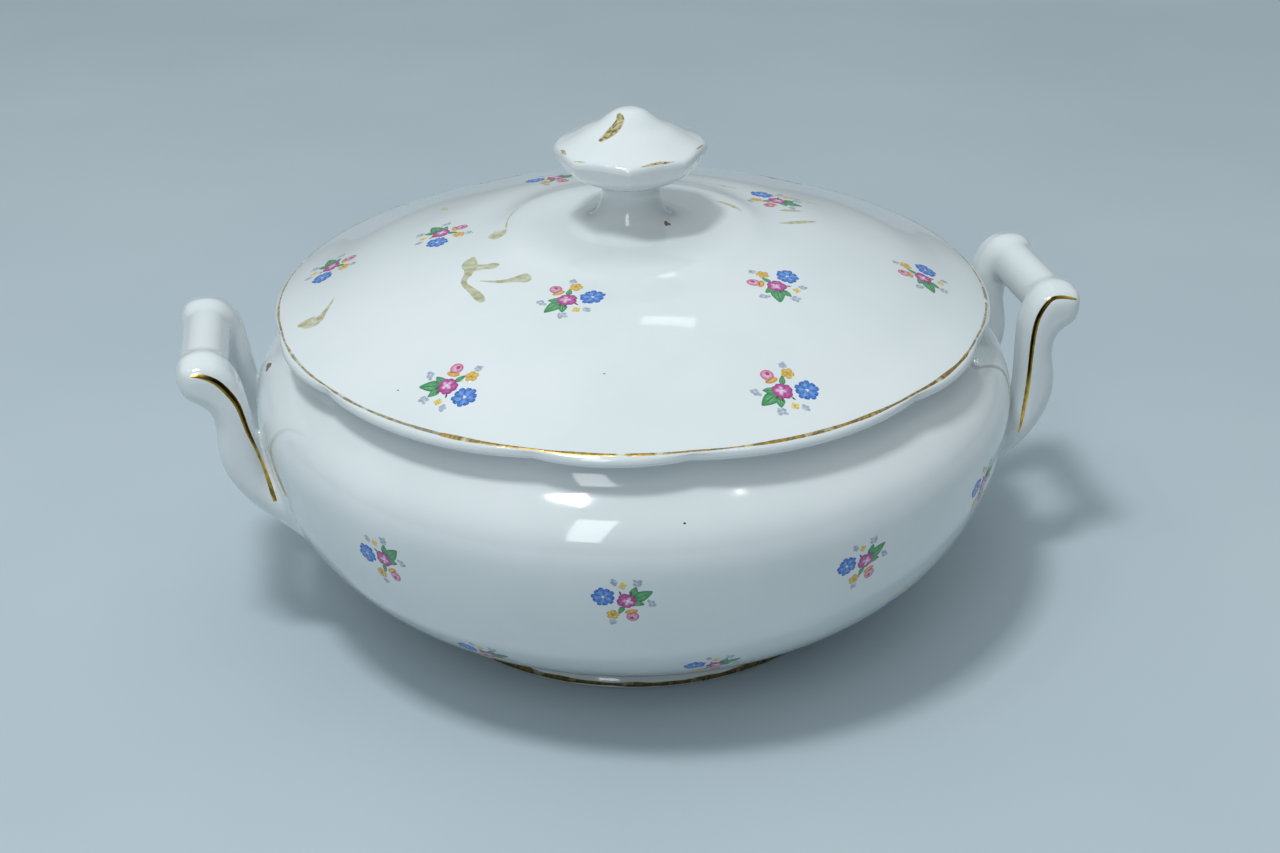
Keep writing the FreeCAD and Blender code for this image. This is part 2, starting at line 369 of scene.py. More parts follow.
def worn_gold(name, metal, stops):
    """Old gilding on a rim: it changes colour along the line, and is bare glaze where it has gone."""
    material, tree, shader = new_material(name)
    patches = noise(tree, 120.0, 5.0)
    fill(tree, shader, {
        "Base Color": ramp(tree, patches, stops),
        "Roughness": spread(tree, noise(tree, 500.0, 3.0, 1.0), 0.22, 0.42),
        "Metallic": ramp(tree, patches, [(0.36, BLACK), (0.44, (metal, metal, metal, 1.0))]),
        "Normal": bump(tree, patches, 0.2, 0.05 * MM),
    })
    return material


def faded_gilt(name, scale, stops):
    """What is left of a gilt scroll: a matt stain, thin in places."""
    material, tree, shader = new_material(name)
    patches = noise(tree, scale, 5.0)
    fill(tree, shader, {
        "Base Color": ramp(tree, patches, stops),
        "Roughness": spread(tree, patches, 0.42, 0.22),
        "Normal": bump(tree, patches, 0.2, 0.04 * MM),
    })
    return material


def enamel():
    """Flower colours fired onto the glaze: each petal's own colour, printed in fine uneven grains."""
    material, tree, shader = new_material("overglaze_enamel")
    grains = noise(tree, 1400.0)
    fill(tree, shader, {
        "Base Color": painted(tree, ramp(tree, grains, [(0.35, (0.66, 0.66, 0.70, 1.0)), (0.60, WHITE)])),
        "Roughness": spread(tree, grains, 0.14, 0.24),
        "Coat Weight": 0.4,
        "Coat Roughness": 0.06,
    })
    return material


def floor_cloth():
    """Pale, matt and faintly cloudy."""
    material, tree, shader = new_material("pale_floor")
    fill(tree, shader, {
        "Base Color": ramp(tree, noise(tree, 6.0, 2.0), shades((0.3, 181, 193, 200), (0.7, 187, 198, 204))),
        "Roughness": 0.85,
        "Specular IOR Level": 0.2,
    })
    return material


PORCELAIN = glazed_porcelain()
BISQUE = bare_porcelain()
BRIGHT_GOLD = bright_gold()
WORN_GOLD = worn_gold("worn_gold", 0.75, shades(
    (0.34, 216, 219, 212), (0.39, 186, 172, 126), (0.45, 132, 110, 62),
    (0.51, 196, 156, 82), (0.58, 140, 122, 76), (0.66, 226, 194, 122),
))
PALE_GOLD = worn_gold("pale_gold", 0.25, shades(
    (0.36, 214, 218, 214), (0.43, 170, 164, 140), (0.48, 136, 124, 96),
    (0.54, 196, 178, 136), (0.60, 150, 142, 118), (0.66, 206, 206, 192),
))
# The foot's line: worn gilding whose colours are darkened with painted shade, the shade that falls under the
# belly.
FOOT_GOLD_PAINTED_SHADE = worn_gold("foot_gold_painted_shade", 0.55, shades(
    (0.36, 150, 144, 106), (0.45, 84, 76, 42), (0.53, 118, 100, 50), (0.60, 76, 70, 44), (0.66, 138, 120, 70),
))
FADED_GILT = faded_gilt("faded_gilt", 420.0, shades(
    (0.32, 166, 160, 122), (0.48, 184, 182, 148), (0.66, 204, 207, 186),
))
OLIVE_GILT = faded_gilt("olive_gilt", 900.0, shades(
    (0.36, 98, 88, 44), (0.48, 168, 156, 92), (0.62, 206, 192, 160),
))
ENAMEL = enamel()


def finish_piece(piece, material, body, nodes=()):
    """Gives a piece its material and the body it rides on, and hides the CAD nodes that it takes the place
    of.
    """
    piece.data.materials.clear()
    piece.data.materials.append(material)
    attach(piece, body)
    if nodes:
        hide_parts(*nodes)
    return piece


def glaze(piece, body, node):
    return finish_piece(piece, PORCELAIN, body, [node])


# --- Bowl and foot ---

def bowl_outline(shares):
    """Outline points from shares of the belly's radius and of the bowl's height."""
    return [(BELLY * radius, BASE + BOWL_HEIGHT * height) for radius, height in shares]


BOWL_OUTER = smooth(bowl_outline([
    (0.567, 0.000), (0.592, 0.012), (0.698, 0.074), (0.813, 0.178), (0.910, 0.322), (0.972, 0.506),
    (0.994, 0.648), (0.997, 0.750), (0.980, 0.816), (0.920, 0.897), (0.881, 0.948), (0.870, 0.988),
]), 150)
BOWL_LIP = bowl_outline([(0.867, 0.996), (0.861, 1.000), (0.850, 1.000), (0.844, 0.997)])
BOWL_INNER = smooth(bowl_outline([
    (0.840, 0.988), (0.849, 0.934), (0.898, 0.862), (0.953, 0.789), (0.967, 0.734), (0.964, 0.644),
    (0.942, 0.516), (0.882, 0.348), (0.790, 0.210), (0.681, 0.110), (0.560, 0.054), (0.400, 0.046),
    (0.000, 0.046),
]), 110)


def make_bowl():
    underside = [(0.0, BASE), (BELLY * 0.30, BASE), (BELLY * 0.55, BASE)]
    outline = np.vstack([underside, BOWL_OUTER, BOWL_LIP, BOWL_INNER])
    outline[-1, 0] = 0.0
    return glaze(turned("bowl", outline, segments=384), "tureen", "bowl_body")


FOOT_OUTER = smooth([
    (FOOT * 0.975, foot_low.z),
    (FOOT * 0.994, 0.5 * MM),
    (FOOT * 1.000, 1.6 * MM),
    (FOOT * 0.993, 3.4 * MM),
    (FOOT * 0.978, 4.7 * MM),
    (FOOT * 0.945, 5.7 * MM),
    (FOOT * 0.917, foot_high.z),
], 36)


def make_foot():
    inner = smooth([
        (FOOT * 0.850, foot_high.z),
        (FOOT * 0.880, 4.6 * MM),
        (FOOT * 0.920, 2.4 * MM),
        (FOOT * 0.957, foot_low.z),
    ], 16)
    outline = np.vstack([FOOT_OUTER, inner])
    return glaze(turned("foot", outline, segments=320, loop=True), "tureen", "foot_ring")


# --- Lid ---

SCALLOP_REPEATS = 6
NARROW_LOBE = math.radians(22)
NARROW_LOBE_CENTRE = math.radians(17)
SCALLOP_DEPTH = 1.8 * MM
SCALLOP_LIFT = 0.6 * MM
CUSP_SHARPNESS = 2.2
# Where the scallop starts and where it is full: depth below the crown, and distance in from the rim.
SCALLOP_START = (22.6 * MM, 9.0 * MM)
SCALLOP_FULL = (25.4 * MM, 5.0 * MM)


def scallop(azimuth):
    """1 at the cusps between the rim's narrow and wide lobes, and 0 in the middle of each lobe."""
    repeat = 2 * math.pi / SCALLOP_REPEATS
    turn = (azimuth - NARROW_LOBE_CENTRE + NARROW_LOBE / 2) % repeat
    narrow = np.abs(2 * turn / NARROW_LOBE - 1)
    wide = np.abs(2 * (turn - NARROW_LOBE) / (repeat - NARROW_LOBE) - 1)
    return np.where(turn < NARROW_LOBE, narrow, wide) ** CUSP_SHARPNESS


def lid_warp(radius, height, azimuth):
    """Draws the rolled lip in and up at each cusp, and leaves the edge above it round."""
    weight = fade(CROWN - height, SCALLOP_START[0], SCALLOP_FULL[0])
    weight = weight * fade(radius, RIM - SCALLOP_START[1], RIM - SCALLOP_FULL[1])
    cusp = scallop(azimuth)
    return radius - SCALLOP_DEPTH * cusp * weight, height + SCALLOP_LIFT * cusp * weight


LID_UPPER = smooth(
    offset((0, CROWN), [
        (0.0, 0.0), (24.0, 0.0), (37.6, -0.1), (41.0, -0.6), (44.4, -1.5), (58.2, -3.9), (75.4, -7.9),
        (92.6, -13.2), (107.0, -19.1),
    ]) + offset((RIM, CROWN), [(-4.6, -22.3), (-1.8, -23.5)]),
    130,
)
LID_EDGE = smooth(
    offset((RIM, CROWN), [(-1.8, -23.5), (-0.7, -24.2), (-0.1, -25.3), (-0.3, -26.5), (-1.3, -27.3)])
    + offset((RIM, SEAT), [(-3.6, 0.1)]),
    30,
)[1:]


def make_lid():
    _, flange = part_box("lid_locating_flange")
    under = [(RIM - 6.6 * MM, SEAT)]
    under += offset((flange.x, SEAT), [(0.02, 0.0)])
    under += offset((flange.x, flange.z), [(0.02, 0.0), (-4.2, 0.0)])
    hollow = smooth(
        offset((flange.x, flange.z), [(-4.3, 0.0)])
        + offset((0, CROWN), [(95.0, -19.0), (76.0, -12.5), (50.0, -6.8), (20.0, -4.5), (0.0, -4.4)]),
        60,
    )
    outline = np.vstack([LID_UPPER, LID_EDGE, under, hollow])[::-1]
    outline[0, 0] = 0.0
    outline[-1, 0] = 0.0
    return glaze(turned("lid", outline, segments=600, warp=lid_warp), "lid", "lid_dome")


KNOB_LOBES = 8
KNOB_FIRST_CREST = math.radians(-10)
KNOB_LOBE_DEPTH = 0.045
KNOB_LOBE_RISE = 0.7 * MM
KNOB_VALLEY_SHARPNESS = 1.4
# Heights under the top between which the lobes grow from the stem, and fade towards the tip.
KNOB_LOBES_GROW = (23.0 * MM, 14.5 * MM)
KNOB_LOBES_FADE = (11.5 * MM, 3.5 * MM)


def knob_warp(radius, height, azimuth):
    """Eight lobes, deepest at the knob's edge, that fade towards the stem and the tip."""
    near_edge = fade(height, KNOB_TOP - KNOB_LOBES_GROW[0], KNOB_TOP - KNOB_LOBES_GROW[1])
    near_edge = near_edge * (1 - fade(height, KNOB_TOP - KNOB_LOBES_FADE[0], KNOB_TOP - KNOB_LOBES_FADE[1]))
    turn = (azimuth - KNOB_FIRST_CREST) * KNOB_LOBES / (2 * math.pi)
    valley = 1 - np.abs(2 * (turn % 1.0) - 1) ** KNOB_VALLEY_SHARPNESS
    radius = radius * (1 - KNOB_LOBE_DEPTH * valley * near_edge)
    return radius, height + KNOB_LOBE_RISE * (valley - 0.5) * near_edge


KNOB_SIDE = smooth(
    offset((KNOB, knob_low.z), [(-2.3, -0.12)])
    + offset((0, knob_low.z), [
        (20.4, 0.06), (17.2, 0.5), (14.6, 1.4), (12.2, 3.4), (10.5, 6.6), (9.7, 10.2), (10.2, 13.2),
        (13.2, 15.6), (17.4, 17.4), (21.0, 19.6), (23.6, 22.2),
    ])
    + offset((KNOB, knob_low.z), [(0.0, 25.4)]),
    90,
)
KNOB_EDGE = smooth(
    offset((KNOB, knob_low.z), [(0.0, 25.4)])
    + offset((KNOB, KNOB_TOP), [(-0.1, -12.9), (-0.5, -12.1), (-1.4, -11.4)]),
    12,
)[1:-1]
KNOB_CONE = smooth(
    offset((KNOB, KNOB_TOP), [(-1.4, -11.4)])
    + offset((0, KNOB_TOP), [
        (19.4, -9.3), (14.6, -6.8), (10.6, -4.8), (7.5, -2.6), (4.9, -1.0), (2.4, -0.25), (0.0, -0.1),
    ]),
    60,
)


def make_knob():
    outline = np.vstack([[(0.0, knob_low.z - 0.3 * MM)], KNOB_SIDE, KNOB_EDGE, KNOB_CONE])
    outline[-1, 0] = 0.0
    return glaze(turned("knob", outline, segments=320, warp=knob_warp), "lid", "lid_knob")


# --- Handles ---

ARM_INNER = 16.0 * MM
ARM_ROUNDING = 5.6 * MM
ARM_MARGIN = 0.1 * MM
GRIP_ROUNDING = 2.0 * MM
GRIP_RADIUS = 7.8 * MM
GRIP_MARGIN = 0.9 * MM
GRIP_CENTRE = (REACH - GRIP_RADIUS - GRIP_MARGIN, GRIP_TOP - GRIP_RADIUS - GRIP_MARGIN)
KNUCKLE_BLEND = 3.6 * MM
ROOT_BLEND = 6.5 * MM
CROTCH_BLEND = 3.0 * MM
CROTCH_HEIGHT = 66.0 * MM
CROTCH_FADE = 14 * MM
# How deep the root goes into the bowl's wall, how deep the fillet's edge does, and the fillet's reach.
ROOT_DEPTH = 1.8 * MM
FILLET_DEPTH = 0.06 * MM
FILLET_REACH = 0.96
# The grid that a handle is read from, out from the axis, across and up.
HANDLE_STEP = 0.6 * MM
HANDLE_GRID_LOW = (106 * MM, -46 * MM, 32 * MM)
HANDLE_GRID_HIGH = (REACH + 3 * MM, 46 * MM, GRIP_TOP + 3 * MM)
LEAN_TOP = 94.0 * MM
LEAN_HEIGHT = 34.0 * MM
LEAN_MOST = 1.4
EVENING_ROUNDS = 5
# Each handle's side, and how far its foot leans outward.
HANDLES = {"right": (1.0, 3.5 * MM), "left": (-1.0, -1.6 * MM)}

HANDLE_OUTLINE = smooth(
    offset((0, 0), [
        (110.0, 38.0), (119.4, 42.8), (127.6, 48.6), (134.8, 56.4), (139.8, 65.4), (141.4, 75.6),
        (140.9, 84.4), (143.2, 91.0), (148.8, 95.4),
    ])
    + offset((REACH, 0), [(-1.2, 100.6)])
    + offset((0, 0), [(149.0, 105.6)])
    + offset((0, GRIP_TOP), [(143.8, -1.1)])
    + offset((0, 0), [
        (137.2, 106.0), (132.4, 100.8), (130.0, 91.0), (129.2, 82.0), (128.4, 73.0), (125.0, 62.0),
        (110.0, 55.0),
    ]),
    130,
)


def melt(first, second, width):
    """The nearer of two distances, with a soft fillet of the given width where they meet."""
    overlap = np.maximum(width - np.abs(first - second), 0) / width
    return np.minimum(first, second) - overlap ** 2 * width / 4


def outline_distance(x, z, outline):
    """Distance of each point from a closed outline, negative inside it."""
    edges = np.roll(outline, -1, axis=0) - outline
    nearest = np.full(x.shape, np.inf)
    inside = np.zeros(x.shape, bool)
    for (start_x, start_z), (edge_x, edge_z) in zip(outline, edges):
        away_x = x - start_x
        away_z = z - start_z
        share = np.clip((away_x * edge_x + away_z * edge_z) / (edge_x ** 2 + edge_z ** 2), 0, 1)
        nearest = np.minimum(nearest, np.hypot(away_x - share * edge_x, away_z - share * edge_z))
        if edge_z != 0:
            crosses = (start_z > z) != (start_z + edge_z > z)
            inside ^= crosses & (away_x < away_z / edge_z * edge_x)
    return np.where(inside, -nearest, nearest)


def rounded(flat, across, rounding):
    """Distance to a slab with the flat shape given by one distance and the thickness by the other."""
    outer = np.hypot(np.maximum(flat + rounding, 0), np.maximum(across + rounding, 0))
    return outer + np.minimum(np.maximum(flat, across) + rounding, 0) - rounding


def closed_surface(values, origin, step):
    """Points and quads of the surface between the grid's negative and positive values."""
    inside = values < 0
    cells = tuple(n - 1 for n in values.shape)
    corners = [np.array((i, j, k)) for i in (0, 1) for j in (0, 1) for k in (0, 1)]
    filled = sum(
        inside[i:i + cells[0], j:j + cells[1], k:k + cells[2]].astype(np.int8) for i, j, k in corners
    )
    mixed = (filled > 0) & (filled < 8)
    where = np.argwhere(mixed)
    index = np.full(cells, -1)
    index[mixed] = np.arange(len(where))
    total = np.zeros((len(where), 3))
    hits = np.zeros(len(where))
    for low in corners:
        for axis in range(3):
            if low[axis] == 1:
                continue
            high = low.copy()
            high[axis] = 1
            first = values[tuple((where + low).T)]
            second = values[tuple((where + high).T)]
            crossed = (first < 0) != (second < 0)
            share = first[crossed] / (first[crossed] - second[crossed])
            total[crossed] += low + share[:, None] * (high - low)
            hits += crossed
    points = origin + (where + total / hits[:, None]) * step
    faces = []
    for axis in range(3):
        side, other = [k for k in range(3) if k != axis]
        low = [slice(1, -1)] * 3
        high = [slice(1, -1)] * 3
        low[axis] = slice(0, -1)
        high[axis] = slice(1, None)
        start = np.argwhere(inside[tuple(low)] != inside[tuple(high)])
        start[:, side] += 1
        start[:, other] += 1
        ring = []
        for back_side, back_other in ((0, 0), (1, 0), (1, 1), (0, 1)):
            cell = start.copy()
            cell[:, side] -= back_side
            cell[:, other] -= back_other
            ring.append(index[tuple(cell.T)])
        faces.append(np.stack(ring, axis=1))
    return points, np.vstack(faces)


def bowl_distance(radius, height):
    """Distance outside the bowl's wall, negative inside it, read from a fine table."""
    fine = 0.4 * MM
    table_radius = np.arange(90 * MM, 162 * MM, fine)
    table_height = np.arange(30 * MM, 116 * MM, fine)
    flat_radius, flat_height = np.meshgrid(table_radius, table_height, indexing="ij")
    closed = np.vstack([[(60 * MM, BASE)], BOWL_OUTER, [(60 * MM, MOUTH)]])
    table = outline_distance(flat_radius, flat_height, closed)
    column = (radius - table_radius[0]) / fine
    row = (height - table_height[0]) / fine
    i = np.clip(column.astype(int), 0, table.shape[0] - 2)
    j = np.clip(row.astype(int), 0, table.shape[1] - 2)
    u = column - i
    v = row - j
    near = table[i, j] * (1 - v) + table[i, j + 1] * v
    far = table[i + 1, j] * (1 - v) + table[i + 1, j + 1] * v
    return near * (1 - u) + far * u


def lean_share(height):
    """How much of a handle's lean shows at a height: none at the grip, and more towards the root."""
    return np.clip((LEAN_TOP - height) / LEAN_HEIGHT, 0, LEAN_MOST)


def make_handle(name):
    """Two arms and the grip between them, melted into each other and into the belly."""
    side, lean = HANDLES[name]
    axes = [np.arange(low, high, HANDLE_STEP) for low, high in zip(HANDLE_GRID_LOW, HANDLE_GRID_HIGH)]
    x, z = np.meshgrid(axes[0], axes[2], indexing="ij")
    arm_flat = outline_distance(x - lean * lean_share(z), z, HANDLE_OUTLINE)[:, None, :]
    grip_flat = (np.hypot(x - GRIP_CENTRE[0], z - GRIP_CENTRE[1]) - GRIP_RADIUS)[:, None, :]
    y = axes[1][None, :, None]
    arm_middle = (ARM_INNER + HALF_GRIP) / 2
    arm_half = (HALF_GRIP - ARM_INNER) / 2 - ARM_MARGIN
    arms = rounded(arm_flat, np.abs(np.abs(y) - arm_middle) - arm_half, ARM_ROUNDING)
    grip = rounded(grip_flat, np.abs(y) - arm_middle, GRIP_ROUNDING)
    loop = melt(arms, grip, KNUCKLE_BLEND)
    radius = np.hypot(axes[0][:, None, None], y)
    wall = bowl_distance(*np.broadcast_arrays(radius, axes[2][None, None, :]))
    near_top = fade(axes[2], CROTCH_HEIGHT - CROTCH_FADE, CROTCH_HEIGHT)[None, None, :]
    blend = ROOT_BLEND + (CROTCH_BLEND - ROOT_BLEND) * near_top
    values = melt(loop, wall + FILLET_DEPTH, blend)
    values = np.maximum(values, loop - blend * FILLET_REACH)
    values = np.maximum(values, -wall - ROOT_DEPTH)
    points, faces = closed_surface(values, np.array(HANDLE_GRID_LOW), HANDLE_STEP)
    points[:, :2] *= side
    handle = new_mesh(f"{name}_handle_loop", points, faces.tolist(), sharp_deg=60.0)
    even_out(handle, EVENING_ROUNDS)
    return glaze(handle, "tureen", f"{name}_handle")


def even_out(piece, rounds):
    """Smooths away the marching steps of a grid surface."""
    mesh = piece.data
    shell = bmesh.new()
    shell.from_mesh(mesh)
    for _ in range(rounds):
        bmesh.ops.smooth_vert(
            shell, verts=shell.verts, factor=0.5, use_axis_x=True, use_axis_y=True, use_axis_z=True
        )
    shell.to_mesh(mesh)
    shell.free()
    mesh.update()


# --- Painted and gilded films ---

class Film:
    """Collects thin closed pads of paint or gold that lie on a surface, for one piece."""

    SUNK = 0.12 * MM

    def __init__(self):
        self.points = []
        self.faces = []
        self.colours = []

    def _add(self, points, colours):
        start = len(self.points)
        self.points.extend(points)
        self.colours.extend(colours)
        return start

    def strip(self, points, normals, lifts, colours=None):
        """A ribbon: surface points, along by across, raised by a lift for each across, its underside sunk."""
        along, across = points.shape[:2]
        top = (points + normals * lifts[..., None]).reshape(-1, 3)
        under = (points - normals * self.SUNK).reshape(-1, 3)
        count = along * across
        if colours is None:
            colours = np.ones((count, 4))
        colours = [tuple(colour) for colour in np.reshape(colours, (count, 4))]
        a = self._add(list(top) + list(under), colours * 2)
        b = a + count
        for i in range(along - 1):
            for j in range(across - 1):
                k = i * across + j
                quad = (k, k + across, k + across + 1, k + 1)
                self.faces.append(tuple(a + q for q in quad))
                self.faces.append(tuple(b + q for q in reversed(quad)))
        border = list(range(across))
        border += [i * across + across - 1 for i in range(1, along)]
        border += [(along - 1) * across + j for j in range(across - 2, -1, -1)]
        border += [i * across for i in range(along - 2, 0, -1)]
        for k, here in enumerate(border):
            there = border[(k + 1) % len(border)]
            self.faces.append((a + here, a + there, b + there, b + here))

    def pad(self, rings, ring_colours, under):
        """A petal: rings of points from the middle out, closed by one point under the surface."""
        count = len(rings[1])
        centre = self._add([rings[0]], [ring_colours[0]])
        outer_rings = zip(rings[1:], ring_colours[1:])
        starts = [self._add(list(ring), [colour] * count) for ring, colour in outer_rings]
        low = self._add([under], [ring_colours[-1]])
        for i in range(count):
            j = (i + 1) % count
            self.faces.append((centre, starts[0] + i, starts[0] + j))
            for inner, outer in zip(starts, starts[1:]):
                self.faces.append((inner + i, outer + i, outer + j, inner + j))
            self.faces.append((starts[-1] + j, starts[-1] + i, low))

    def build(self, name, material, body, slot, nodes=()):
        piece = new_mesh(name, self.points, self.faces, sharp_deg=60.0)
        layer = piece.data.color_attributes.new("paint", "FLOAT_COLOR", "POINT")
        layer.data.foreach_set("color", np.array(self.colours, np.float32).ravel())
        return finish_piece(piece, material, body, nodes)


class Spot:
    """A place to paint on a surface: x to the right and y up, in millimetres, turned and scaled."""

    def __init__(self, surface, run, azimuth_deg, up_along, turn_deg=0.0, scale=1.0):
        self.film = Film()
        self.surface = surface
        self.run = run
        self.azimuth = math.radians(azimuth_deg)
        self.up_along = up_along
        self.turn = math.radians(turn_deg)
        self.scale = scale

    def __call__(self, x, y, lift):
        """Points lifted off the surface by lift millimetres."""
        x = np.asarray(x, float) * MM * self.scale
        y = np.asarray(y, float) * MM * self.scale
        right = x * math.cos(self.turn) - y * math.sin(self.turn)
        up = x * math.sin(self.turn) + y * math.cos(self.turn)
        run = self.run + up * self.up_along
        azimuth = self.azimuth + right / self.surface.radius_at(run)
        points, normals = self.surface.points_and_normals(run, azimuth)
        return points + normals * (np.asarray(lift, float) * MM)[..., None]


def mix(first, second, share):
    return tuple(a + (b - a) * share for a, b in zip(first, second))


# A pad of colour: corners round it, then how high it stands, how deep it goes and how pads stack, in mm.
PAD_CORNERS = 14
PAD_HEIGHT = 0.035
PAD_DEPTH = 0.12
FIRST_LAYER = 0.02
LAYER_STEP = 0.022
# Each ring of a pad: its share of the way out, and its share of the height.
PAD_RINGS = ((0.45, 0.9), (0.78, 0.6), (1.0, 0.0))
COLOUR_FALL = 1.3
NOTCH_SHARPNESS = 3.2


def petal(spot, x, y, length, width, angle_deg, inner, outer, layer=1, point=0.0, notch=0.0):
    """One dab of colour: an oval that may narrow to a point or be notched at its far end."""
    angle = math.radians(angle_deg)
    around = np.linspace(0, 2 * math.pi, PAD_CORNERS, endpoint=False)
    along = np.cos(around)
    aside = np.sin(around) * (1 - point * along)
    along = along * (1 - notch * np.exp(-(NOTCH_SHARPNESS * np.sin(around)) ** 2) * (along > 0))
    shape_x = along * length / 2
    shape_y = aside * width / 2
    local_x = x + shape_x * math.cos(angle) - shape_y * math.sin(angle)
    local_y = y + shape_x * math.sin(angle) + shape_y * math.cos(angle)
    base = FIRST_LAYER + LAYER_STEP * layer
    rings = [spot(x, y, base + PAD_HEIGHT)]
    colours = [inner]
    for share, lift in PAD_RINGS:
        ring_x = x + (local_x - x) * share
        ring_y = y + (local_y - y) * share
        rings.append(spot(ring_x, ring_y, base * (share < 1) + PAD_HEIGHT * lift))
        colours.append(mix(inner, outer, share ** COLOUR_FALL))
    spot.film.pad(rings, colours, spot(x, y, -PAD_DEPTH))


ROSE_EDGE = srgb(164, 32, 120)
ROSE_MIDDLE = srgb(206, 98, 174)
ROSE_LIGHT = srgb(238, 206, 226)
ROSE_HEART = srgb(250, 236, 244)
BUD_PINK = srgb(208, 84, 136)
BUD_RED = srgb(176, 44, 84)
ORANGE = srgb(216, 140, 78)
YELLOW = srgb(236, 200, 92)
GOLDEN = srgb(214, 164, 62)
PALE_YELLOW = srgb(238, 216, 124)
BROWN = srgb(150, 74, 34)
BLUE_DARK = srgb(16, 62, 150)
BLUE_EDGE = srgb(36, 96, 192)
BLUE_MIDDLE = srgb(84, 142, 218)
BLUE_LIGHT = srgb(118, 168, 228)
LEAF_DARK = srgb(32, 122, 70)
LEAF_MIDDLE = srgb(60, 146, 88)
LEAF_LIGHT = srgb(112, 192, 128)
SPRIG = srgb(148, 160, 182)
SPRIG_PALE = srgb(194, 203, 212)
STEM = srgb(96, 52, 66)
SPECK_BLACK = srgb(52, 48, 46)
SPECK_DARK = srgb(96, 52, 34)
SPECK_PALE = srgb(150, 112, 78)
SPRIGS = [(-7.8, 1.6, 3.0), (-4.3, -7.2, 3.0), (3.5, -8.0, 2.4), (5.4, 9.2, 1.8)]


def beside(x, y, reach, angle_deg):
    """The place at a distance and angle from (x, y)."""
    angle = math.radians(angle_deg)
    return x + reach * math.cos(angle), y + reach * math.sin(angle)


def whorl(spot, x, y, size, first_angle, reaches, shape, inner, outer, layers=(1, 2), notch=0.0):
    """A ring of petals: how far out each is, and their length and width, as shares of the size."""
    for k, reach in enumerate(reaches):
        angle = first_angle + 360 / len(reaches) * k
        place = beside(x, y, size * reach, angle)
        length, width = size * shape[0], size * shape[1]
        petal(spot, *place, length, width, angle, inner, outer, layer=layers[k % 2], notch=notch)


def rose(spot, x, y, size):
    """Outer petals with dark edges round a pale heart."""
    outer_reaches = (0.27, 0.24, 0.28, 0.22, 0.27)
    whorl(spot, x, y, size, 10, outer_reaches, (0.52, 0.54), ROSE_MIDDLE, ROSE_EDGE, notch=0.20)
    heart_x = x - size * 0.05
    heart_y = y + size * 0.03
    whorl(spot, heart_x, heart_y, size, 65, [0.14] * 4, (0.34, 0.26), ROSE_LIGHT, ROSE_MIDDLE, layers=(4, 4))
    petal(spot, heart_x, y, size * 0.26, size * 0.20, 30, ROSE_HEART, ROSE_LIGHT, layer=5)


def rosebud(spot, x, y, size, angle):
    """A half-open bud, pink above and orange-yellow at its base."""
    tip = beside(x, y, size * 0.16, angle)
    foot = beside(x, y, -size * 0.26, angle)
    petal(spot, *tip, size * 0.80, size * 0.78, angle, ROSE_LIGHT, BUD_PINK, layer=2)
    petal(spot, *foot, size * 0.40, size * 0.80, angle, YELLOW, ORANGE, layer=3)
    fold = beside(*foot, size * 0.10, angle + 30)
    petal(spot, *fold, size * 0.12, size * 0.62, angle + 12, BUD_RED, ORANGE, layer=4)
    heart = beside(*tip, size * 0.10, angle - 40)
    petal(spot, *heart, size * 0.34, size * 0.30, angle, BUD_RED, BUD_PINK, layer=4)


def small_flower(spot, x, y, size, first_angle, inner, outer, heart, count=5):
    whorl(spot, x, y, size, first_angle, [0.27] * count, (0.50, 0.44), inner, outer, notch=0.12)
    petal(spot, x, y, size * 0.26, size * 0.22, first_angle, heart, inner, layer=4)


def blue_flower(spot, x, y, size):
    """Five petals with split, dark ends, pale towards a small pink eye."""
    for k in range(5):
        for turn, reach in ((-17, 0.33), (17, 0.29)):
            angle = 8 + 72 * k + turn
            place = beside(x, y, size * reach, angle)
            petal(spot, *place, size * 0.44, size * 0.27, angle, BLUE_MIDDLE, BLUE_EDGE, notch=0.15)
        angle = 8 + 72 * k
        place = beside(x, y, size * 0.25, angle)
        petal(spot, *place, size * 0.38, size * 0.20, angle, BLUE_LIGHT, BLUE_MIDDLE, layer=3)
        place = beside(x, y, size * 0.40, angle + 6)
        petal(spot, *place, size * 0.16, size * 0.09, angle, BLUE_DARK, BLUE_EDGE, layer=4)
    eye = (x - size * 0.08, y - size * 0.03)
    petal(spot, *eye, size * 0.13, size * 0.11, 0, ROSE_EDGE, BLUE_LIGHT, layer=5)


def leaf(spot, x, y, length, width, angle):
    petal(spot, x, y, length, width, angle, LEAF_LIGHT, LEAF_DARK, layer=0, point=0.55)
    petal(spot, x, y, length * 0.82, width * 0.12, angle, LEAF_DARK, LEAF_MIDDLE, layer=3)


def sprig(spot, x, y, size, seed):
    """A loose tuft of small grey-blue dabs."""
    rng = random.Random(seed)
    for k in range(7):
        place = beside(x, y, size * rng.uniform(0.12, 0.46), 51 * k + rng.uniform(-20, 20))
        shade = mix(SPRIG, SPRIG_PALE, rng.random() * 0.8)
        size_and_turn = (rng.uniform(1.2, 2.0), rng.uniform(0.8, 1.3), rng.uniform(0, 180))
        petal(spot, *place, *size_and_turn, shade, SPRIG_PALE, layer=0)


